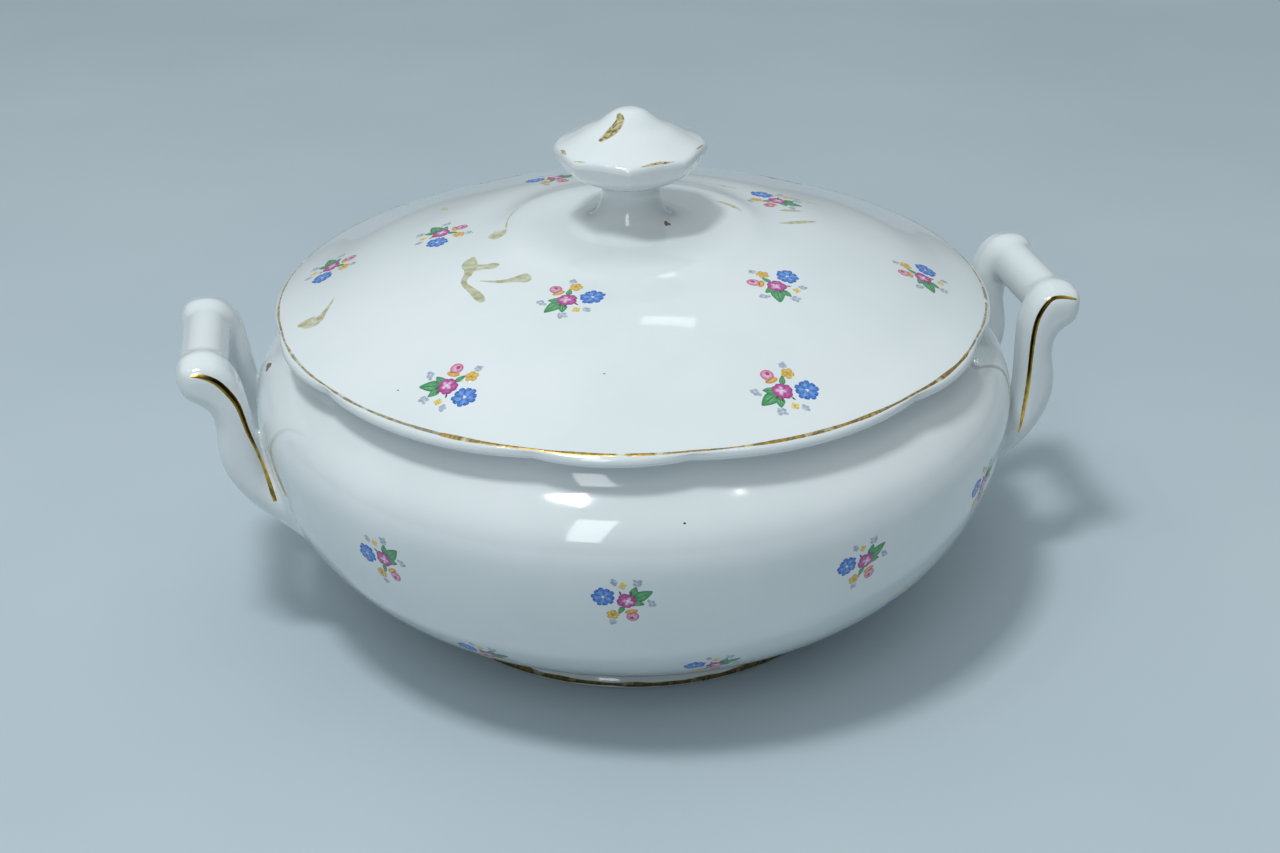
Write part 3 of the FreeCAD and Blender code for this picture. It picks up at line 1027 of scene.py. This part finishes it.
def bouquet(name, spot, body):
    """The transfer: a rose with leaves, a rosebud, two small yellow flowers, a blue flower and sprigs."""
    leaf(spot, -5.4, -1.9, 7.0, 4.0, 204)
    leaf(spot, -3.8, 1.4, 3.8, 2.4, 160)
    leaf(spot, -2.7, -3.9, 4.0, 2.6, 246)
    leaf(spot, 2.2, 4.0, 3.6, 1.8, 62)
    for x, y, angle in ((-2.6, -1.6, 215), (-1.6, -3.0, 250), (1.8, -3.4, 290)):
        petal(spot, x, y, 2.0, 0.6, angle, STEM, STEM, layer=2)
    rose(spot, 0.0, 0.0, 6.6)
    rosebud(spot, -1.2, 6.2, 5.4, 96)
    small_flower(spot, 5.0, 5.7, 4.4, 40, YELLOW, GOLDEN, BROWN)
    blue_flower(spot, 7.4, -2.2, 7.6)
    small_flower(spot, 0.8, -6.4, 2.8, 10, PALE_YELLOW, YELLOW, ORANGE, count=4)
    for seed, (x, y, size) in enumerate(SPRIGS, 1):
        sprig(spot, x, y, size, seed)
    spot.film.build(name, ENAMEL, body, "overglaze_flowers")


LID_SURFACE = Surface(np.vstack([LID_UPPER, LID_EDGE]), lid_warp)
BOWL_SURFACE = Surface(BOWL_OUTER)
FOOT_SURFACE = Surface(FOOT_OUTER)


def lid_spot(radius_mm, azimuth, turn=0.0):
    """Up is towards the knob."""
    return Spot(LID_SURFACE, LID_SURFACE.run_at_radius(radius_mm * MM), azimuth, -1.0, turn)


def bowl_spot(height_mm, azimuth, turn=180.0):
    """Up is up the wall; the bowl's flowers hang upside down."""
    run = BOWL_SURFACE.run_at_height(height_mm * MM)
    return Spot(BOWL_SURFACE, run, azimuth, 1.0, turn, BOWL_FLOWER_SCALE)


# Bouquets on the lid: radius in millimetres, azimuth and turn. On the belly: azimuth and turn.
LID_FLOWERS = [
    (102, -132.2, 0), (102, -74.6, 2), (97, -19, 8), (100, 46, -3), (101, 108, 4), (102, 167, 0),
    (58, -120, 40), (63, -54, 28), (58, 19, 24), (62, 106, -12), (64, 166, 12),
]
BELLY_FLOWERS = [
    (-136, 200), (-101, 184), (-67.4, 193), (-39, 184), (39, 180), (70, 192), (104, 186), (137, 195),
]
BELLY_FLOWER_HEIGHT = 66.5
LOWER_FLOWER_HEIGHT = 31
LOWER_FLOWERS = 10
LOWER_FIRST = -124
LOWER_STEP = 36.5
BOWL_FLOWER_SCALE = 0.9


def make_flowers():
    for index, (radius, azimuth, turn) in enumerate(LID_FLOWERS, 1):
        bouquet(f"lid_bouquet_{index}", lid_spot(radius, azimuth, turn), "lid")
    for index, (azimuth, turn) in enumerate(BELLY_FLOWERS, 1):
        bouquet(f"belly_bouquet_{index}", bowl_spot(BELLY_FLOWER_HEIGHT, azimuth, turn), "tureen")
    for index in range(LOWER_FLOWERS):
        azimuth = LOWER_FIRST + LOWER_STEP * index
        bouquet(f"lower_bouquet_{index + 1}", bowl_spot(LOWER_FLOWER_HEIGHT, azimuth), "tureen")


# --- Gilt strokes and lines ---

# How high the middle of a line or stroke stands, and how finely each is divided.
STROKE_STEPS = 28
STROKE_THINNEST = 0.12 * MM
STROKE_LIFT = 0.045 * MM
LINE_LIFT = 0.05 * MM
HANDLE_LINE_LIFT = 0.10 * MM
HANDLE_LINE_EDGE = 0.01 * MM
HANDLE_LINE_STEPS = 110


def along_stations(stations, steps):
    """Each of the three values of the stations, changing smoothly over the given steps."""
    table = np.array(stations)
    knots = np.linspace(0, 1, len(table))
    fine = np.linspace(0, 1, steps)
    return [natural_spline(knots, table[:, k], fine) for k in range(3)]


def stroke(film, surface, stations):
    """A brush stroke through stations: radius in millimetres, azimuth in degrees, width in millimetres."""
    run, azimuth, width = along_stations([
        (surface.run_at_radius(radius * MM), math.radians(azimuth), width * MM)
        for radius, azimuth, width in stations
    ], STROKE_STEPS)
    width = np.maximum(width, STROKE_THINNEST)
    radius = surface.radius_at(run)
    forward = unit(np.stack([np.gradient(run), np.gradient(azimuth) * radius], axis=1))
    across = np.linspace(-0.5, 0.5, 7)
    grid_run = run[:, None] - forward[:, 1:] * width[:, None] * across
    grid_azimuth = azimuth[:, None] + forward[:, :1] * width[:, None] * across / radius[:, None]
    points, normals = surface.points_and_normals(grid_run, grid_azimuth)
    film.strip(points, normals, STROKE_LIFT * (1 - (2 * across) ** 4))


def gilt_strokes(name, material, surface, strokes):
    """One piece of brush strokes on the lid or the knob."""
    film = Film()
    for stations in strokes:
        stroke(film, surface, stations)
    film.build(name, material, "lid", "gilding")


FADED_SCROLLS = {
    "faded_gilt_leaf": [
        [
            (112.6, -172.6, 1.4), (110.4, -172.3, 4.9), (108.4, -171.6, 6.8), (106.2, -171.4, 5.0),
            (104.1, -172.5, 2.3), (101.6, -174.3, 1.3), (99.5, -176.4, 0.4),
        ],
    ],
    "faded_gilt_scroll": [
        [
            (54.7, -168.0, 0.9), (57.0, -165.2, 4.4), (58.4, -162.4, 5.0), (59.0, -160.6, 4.2),
            (61.4, -157.6, 2.6),
        ],
        [
            (57.8, -161.0, 3.6), (56.6, -159.6, 4.2), (54.6, -158.2, 3.2), (52.6, -156.9, 4.2),
            (50.7, -156.1, 0.9),
        ],
        [
            (61.0, -158.0, 2.8), (64.3, -155.4, 1.9), (65.4, -152.0, 2.2), (65.9, -148.6, 2.8),
            (67.1, -144.8, 3.1), (68.2, -142.4, 1.6),
        ],
        [
            (60.8, -151.6, 0.4), (57.9, -146.6, 1.6), (55.1, -143.6, 2.8), (52.8, -141.8, 4.4),
            (51.3, -140.0, 5.6), (50.2, -138.8, 2.4),
        ],
        [(47.4, 177.4, 1.8), (45.6, 177.8, 6.4), (43.5, 177.3, 5.2), (41.6, 175.0, 1.0)],
        [(41.4, 174.0, 0.7), (41.6, 163.0, 0.5), (41.6, 153.0, 0.5), (41.2, 146.0, 0.3)],
    ],
    "faded_gilt_stem": [
        [(75.4, 141.6, 0.6), (73.6, 142.8, 2.4), (71.4, 144.6, 0.6)],
    ],
    "faded_gilt_back": [
        [(58.6, 26.6, 0.8), (63.4, 23.4, 2.4), (68.4, 19.8, 2.2), (73.0, 16.4, 0.8)],
        [(53.2, 8.6, 0.6), (57.6, 8.8, 2.4), (61.8, 8.4, 0.8)],
        [(49.8, -5.6, 0.8), (54.2, -3.8, 2.2), (59.4, -1.8, 2.2), (63.4, -0.4, 0.8)],
        [(34.6, 22.0, 0.5), (36.2, 14.6, 1.8), (37.4, 8.6, 1.4), (38.2, 4.0, 0.5)],
        [(50.6, 55.4, 0.4), (51.6, 48.6, 1.2), (52.6, 41.6, 1.2), (53.4, 36.0, 0.4)],
    ],
}


def waver(azimuth, rng, waves=(3, 7, 13, 24, 41)):
    """A smooth uneven value, mostly between -1 and 1, that closes up after one turn."""
    total = np.zeros_like(azimuth)
    for count in waves:
        total += np.sin(count * azimuth + rng.uniform(0, 2 * math.pi))
    return total / len(waves) ** 0.5


# A line's stations are this far apart. It is uneven by this share, and wanders by this much from its run.
LINE_STATION = 1.0 * MM
LINE_UNEVENNESS = 0.28
LINE_WANDER = 0.14 * MM
# Its ends taper over this many stations, to this share of the width.
LINE_TAPER = 2.5
LINE_TIP = 0.15


def ring_line(film, surface, run, width_mm, start_deg, end_deg, seed):
    """A hand-drawn gold line round a surface, of uneven width, with tapered ends."""
    rng = random.Random(seed)
    radius = float(surface.radius_at(run))
    length = math.radians(end_deg - start_deg) * radius
    steps = max(6, int(length / LINE_STATION))
    azimuth = np.radians(np.linspace(start_deg, end_deg, steps))
    from_end = np.minimum(np.arange(steps), np.arange(steps)[::-1])
    width = width_mm * MM * (1 + LINE_UNEVENNESS * waver(azimuth, rng))
    width = width * np.clip(from_end / LINE_TAPER, LINE_TIP, 1.0)
    middle = run + LINE_WANDER * waver(azimuth, rng, (2, 5, 11))
    across = np.linspace(-0.5, 0.5, 5)
    grid_run = middle[:, None] + width[:, None] * across
    points, normals = surface.points_and_normals(grid_run, azimuth[:, None])
    film.strip(points, normals, LINE_LIFT * (1 - (2 * across) ** 4))


KNOB_SURFACE = Surface(np.vstack([KNOB_CONE[::-1], KNOB_EDGE[::-1], KNOB_SIDE[::-1]]), knob_warp)
# Traces on the knob's edge: start and end in degrees, and width in millimetres.
KNOB_EDGE_GOLD = [
    (-171, -160, 1.5), (-147, -136, 0.7), (-92, -64, 0.8), (-34, -18, 0.9),
    (12, 40, 0.7), (66, 82, 1.1), (118, 150, 0.8),
]
KNOB_STROKE = [(4.8, -146, 1.2), (6.6, -127, 2.8), (9.4, -129, 3.6), (12.4, -134, 3.6), (15.4, -139, 1.6)]
RIM_GOLD_INSET = 1.9 * MM
KNOB_GOLD_INSET = 0.9 * MM
FOOT_GOLD_HEIGHT = 2.0 * MM


def gold_lines(name, material, body, surface, run, first_seed, lines, nodes=()):
    """One piece of lines round a surface, each with its own seed: start and end in degrees, and width."""
    film = Film()
    for seed, (start, end, width) in enumerate(lines, first_seed):
        ring_line(film, surface, run, width, start, end, seed)
    film.build(name, material, body, "gilding", nodes)


def make_gilding():
    for name, strokes in FADED_SCROLLS.items():
        gilt_strokes(name, FADED_GILT, LID_SURFACE, strokes)
    rim = LID_SURFACE.run_at_radius(RIM - RIM_GOLD_INSET)
    best, worn = [(-129, -37, 1.15)], [(-39, 233, 0.85)]
    gold_lines("rim_gilding", WORN_GOLD, "lid", LID_SURFACE, rim, 11, best, ["lid_rim_gilding"])
    gold_lines("worn_rim_gilding", PALE_GOLD, "lid", LID_SURFACE, rim, 12, worn)
    # The foot's gold line is drawn in worn gold darkened with painted shade.
    foot = FOOT_SURFACE.run_at_height(FOOT_GOLD_HEIGHT)
    gold_lines("foot_line", FOOT_GOLD_PAINTED_SHADE, "tureen", FOOT_SURFACE, foot, 5, [(-270, 89.5, 1.9)], ["foot_gilding"])
    knob = KNOB_SURFACE.run_at_radius(KNOB - KNOB_GOLD_INSET)
    gold_lines("knob_gold_traces", OLIVE_GILT, "lid", KNOB_SURFACE, knob, 0, KNOB_EDGE_GOLD, ["knob_gilding"])
    gilt_strokes("knob_leaf_trace", OLIVE_GILT, KNOB_SURFACE, [KNOB_STROKE])


# Stations down each gold line: distance out, height and width, in millimetres.
HANDLE_GOLD = {
    "right": [
        (147.2, 104.2, 0.7), (143.3, 105.2, 1.2), (139.8, 105.2, 1.4), (137.3, 103.8, 1.5),
        (134.9, 100.4, 1.6), (133.4, 95.4, 1.7), (132.9, 88.0, 1.6), (132.9, 78.4, 1.5),
        (132.6, 69.0, 1.5), (131.6, 60.6, 1.1), (130.6, 55.6, 0.6),
    ],
    "left": [
        (145.6, 104.3, 0.8), (142.6, 104.1, 1.5), (139.2, 102.6, 1.9), (136.4, 99.9, 2.1),
        (133.8, 95.8, 2.1), (132.0, 91.0, 2.0), (130.6, 84.0, 1.8), (129.3, 78.6, 1.6),
        (127.8, 72.4, 1.5), (126.1, 65.0, 1.5), (124.4, 57.4, 1.3),
    ],
}
# Colours of the handle lines: the bright gold's own colour, plus a dimmed gold and a near-black that are
# painted reflection of the dim room.
GOLD_BRIGHT = srgb(236, 196, 96)
GOLD_DIMMED_BESIDE_REFLECTION = srgb(178, 142, 54)
GOLD_PAINTED_REFLECTION = srgb(34, 27, 16)
# The painted dark reflection: where it fades in and out down the line, and its middle and fade across it.
REFLECTION_FADES_IN = (0.08, 0.22)
REFLECTION_FADES_OUT = (0.68, 0.78)
REFLECTION_MIDDLE = 0.2
REFLECTION_FADES_ASIDE = (0.35, 0.8)


def handle_gold_painted_reflection(steps, samples):
    """A painted dark reflection down the middle of the line, with lighter gold at its edges and bright gold
    at its ends.
    """
    share = np.linspace(0, 1, steps)
    dark = fade(share, *REFLECTION_FADES_IN) * (1 - fade(share, *REFLECTION_FADES_OUT))
    across = np.linspace(-1, 1, samples)
    middle = 1 - fade(np.abs(across - REFLECTION_MIDDLE), *REFLECTION_FADES_ASIDE)
    weight = dark[:, None] * middle[None, :]
    edge, bright, deep = (np.array(colour) for colour in (GOLD_DIMMED_BESIDE_REFLECTION, GOLD_BRIGHT, GOLD_PAINTED_REFLECTION))
    base = (edge + (bright - edge) * (1 - dark)[:, None])[:, None, :]
    return base + (deep - base) * weight[..., None]


def make_handle_gilding(name, handle):
    """The gold line down the outer face of each arm, laid on the finished handle."""
    side = HANDLES[name][0]
    mesh = handle.data
    tree = BVHTree.FromPolygons([v.co for v in mesh.vertices], [p.vertices for p in mesh.polygons])
    steps = HANDLE_LINE_STEPS
    distance, height, width = along_stations(np.array(HANDLE_GOLD[name]) * MM, steps)
    across = np.linspace(-0.5, 0.5, 7)
    film = Film()
    for face in (1.0, -1.0):
        centres = np.zeros((steps, 3))
        for i, (x, z) in enumerate(zip(distance, height)):
            start = Vector((x * side, face * 60 * MM, z))
            centres[i] = tree.ray_cast(start, Vector((0, -face, 0)))[0]
        forward = unit(np.gradient(centres, axis=0))
        points = np.zeros((steps, len(across), 3))
        normals = np.zeros_like(points)
        for i, centre in enumerate(centres):
            _, normal, _, _ = tree.find_nearest(Vector(centre))
            aside = np.cross(np.array(normal), forward[i]) * face * side
            aside /= np.linalg.norm(aside)
            for j, share in enumerate(across):
                place = Vector(centre + aside * share * width[i])
                points[i, j], normals[i, j] = tree.find_nearest(place)[:2]
        lifts = HANDLE_LINE_LIFT * (1 - (2 * across) ** 2) + HANDLE_LINE_EDGE
        # The line's colours carry the painted dark reflection.
        film.strip(points, normals, lifts, handle_gold_painted_reflection(steps, len(across)))
    return film.build(f"{name}_handle_line", BRIGHT_GOLD, "tureen", "gilding", [f"{name}_handle_gilding"])


# --- Stains ---

STEM_SPECK_RISE = 9.9 * MM


def speck(film, spot, dabs, angle, inner=SPECK_DARK, outer=SPECK_PALE):
    """Dabs of brown on one piece's film: place, length and width in millimetres."""
    spot.film = film
    for x, y, length, width in dabs:
        petal(spot, x, y, length, width, angle, inner, outer)


def make_stains():
    """Brown specks in the glaze of the lid and the bowl, and a stain where the left handle starts."""
    film = Film()
    for radius, azimuth in ((108.5, -139.8), (89.6, -105.2)):
        speck(film, lid_spot(radius, azimuth), [(0.0, 0.0, 0.8, 0.5)], 25)
    stem_foot = Spot(KNOB_SURFACE, KNOB_SURFACE.run[-1] - STEM_SPECK_RISE, -41.0, -1.0)
    speck(film, stem_foot, [(0.0, 0.0, 2.38, 1.7), (0.9, -0.9, 1.4, 1.0), (-0.8, -0.5, 1.12, 0.8)], 25)
    film.build("lid_specks", ENAMEL, "lid", "overglaze_flowers")
    film = Film()
    speck(film, bowl_spot(89.6, -93.3), [(0.0, 0.0, 0.9, 0.7)], 0, SPECK_BLACK, SPECK_DARK)
    stain = [(0.0, 0.0, 5.0, 3.0), (2.0, 0.8, 3.0, 1.8), (-1.6, 1.0, 2.8, 1.68)]
    speck(film, bowl_spot(90.4, 179.0), stain, 20)
    film.build("bowl_specks", ENAMEL, "tureen", "overglaze_flowers")


# --- Stage ---

def make_camera():
    azimuth = math.radians(CAMERA_AZIMUTH)
    view = math.radians(VIEW_AZIMUTH)
    down = math.radians(VIEW_DOWN)
    roll = math.radians(VIEW_ROLL)
    place = Vector((math.sin(azimuth), -math.cos(azimuth), 0)) * CAMERA_DISTANCE
    place.z = CAMERA_HEIGHT
    forward = Vector((-math.sin(view) * math.cos(down), math.cos(view) * math.cos(down), -math.sin(down)))
    level_right = forward.cross(Vector((0, 0, 1))).normalized()
    level_up = level_right.cross(forward)
    right = level_right * math.cos(roll) + level_up * math.sin(roll)
    up = right.cross(forward)
    data = bpy.data.cameras.new("camera")
    data.lens = LENS
    data.sensor_width = SENSOR
    camera = add_object("camera", data)
    camera.matrix_world = Matrix((
        (right.x, up.x, -forward.x, place.x),
        (right.y, up.y, -forward.y, place.y),
        (right.z, up.z, -forward.z, place.z),
        (0, 0, 0, 1),
    ))
    bpy.context.scene.camera = camera


FLOOR_HALF = 3.0


def make_floor():
    half = FLOOR_HALF
    mesh = bpy.data.meshes.new("floor")
    corners = [(-half, -half, 0), (half, -half, 0), (half, half, 0), (-half, half, 0)]
    mesh.from_pydata(corners, [], [(0, 1, 2, 3)])
    mesh.materials.append(floor_cloth())
    floor = add_object("floor", mesh)


# Each lamp: direction from the piece, distance, width, height and power.
LAMPS = [
    ("key", (-0.25, -0.24, 0.94), 1.5, 0.22, 0.22, 9.8),
    ("window", (-0.321, -0.735, 0.597), 1.3, 0.21, 0.85, 2.3),
    ("left_lamp", (-0.427, -0.117, 0.897), 1.5, 0.10, 0.10, 0.5),
    ("right_lamp", (0.286, -0.316, 0.905), 1.5, 0.04, 0.10, 0.2),
    ("back_lamp", (0.173, 0.564, 0.808), 1.6, 0.18, 0.08, 0.08),
]
LAMP_COLOUR = (0.93, 0.98, 1.0)
LAMP_AIM = Vector((0, 0, 0.09))
ROOM_COLOURS = [
    (0.0, (0.10, 0.12, 0.13, 1.0)),
    (0.35, (0.23, 0.265, 0.28, 1.0)),
    (1.0, (0.55, 0.61, 0.64, 1.0)),
]
# The room's strength towards the camera's side, and towards the far side.
ROOM_NEAR = 0.72
ROOM_FAR = 1.5


def make_room():
    """A dim room, brighter overhead and on the far side."""
    world = bpy.data.worlds.new("room")
    world.use_nodes = True
    tree = world.node_tree
    place = add_node(tree, "TexCoord", {}).outputs["Generated"]
    direction = add_node(tree, "SeparateXYZ", {"Vector": place}).outputs
    fill(tree, tree.nodes["Background"], {
        "Color": ramp(tree, direction["Z"], ROOM_COLOURS),
        "Strength": spread(tree, direction["Y"], ROOM_NEAR, ROOM_FAR, start=-1.0, end=1.0),
    })
    bpy.context.scene.world = world


def make_lamps():
    for name, direction, distance, width, height, watts in LAMPS:
        data = bpy.data.lights.new(name, "AREA")
        data.shape = "RECTANGLE"
        data.size = width
        data.size_y = height
        data.energy = watts
        data.color = LAMP_COLOUR
        lamp = add_object(name, data)
        lamp.location = LAMP_AIM + Vector(direction).normalized() * distance
        lamp.rotation_euler = (LAMP_AIM - lamp.location).to_track_quat("-Z", "Y").to_euler()


make_camera()
make_bowl()
make_foot()
make_lid()
make_knob()
handles = {name: make_handle(name) for name in HANDLES}
make_flowers()
make_gilding()
for name, handle in handles.items():
    make_handle_gilding(name, handle)
make_stains()
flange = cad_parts["lid_locating_flange"]
flange.data.materials.clear()
flange.data.materials.append(BISQUE)
make_floor()
make_room()
make_lamps()
bpy.context.scene.view_settings.view_transform = "Standard"
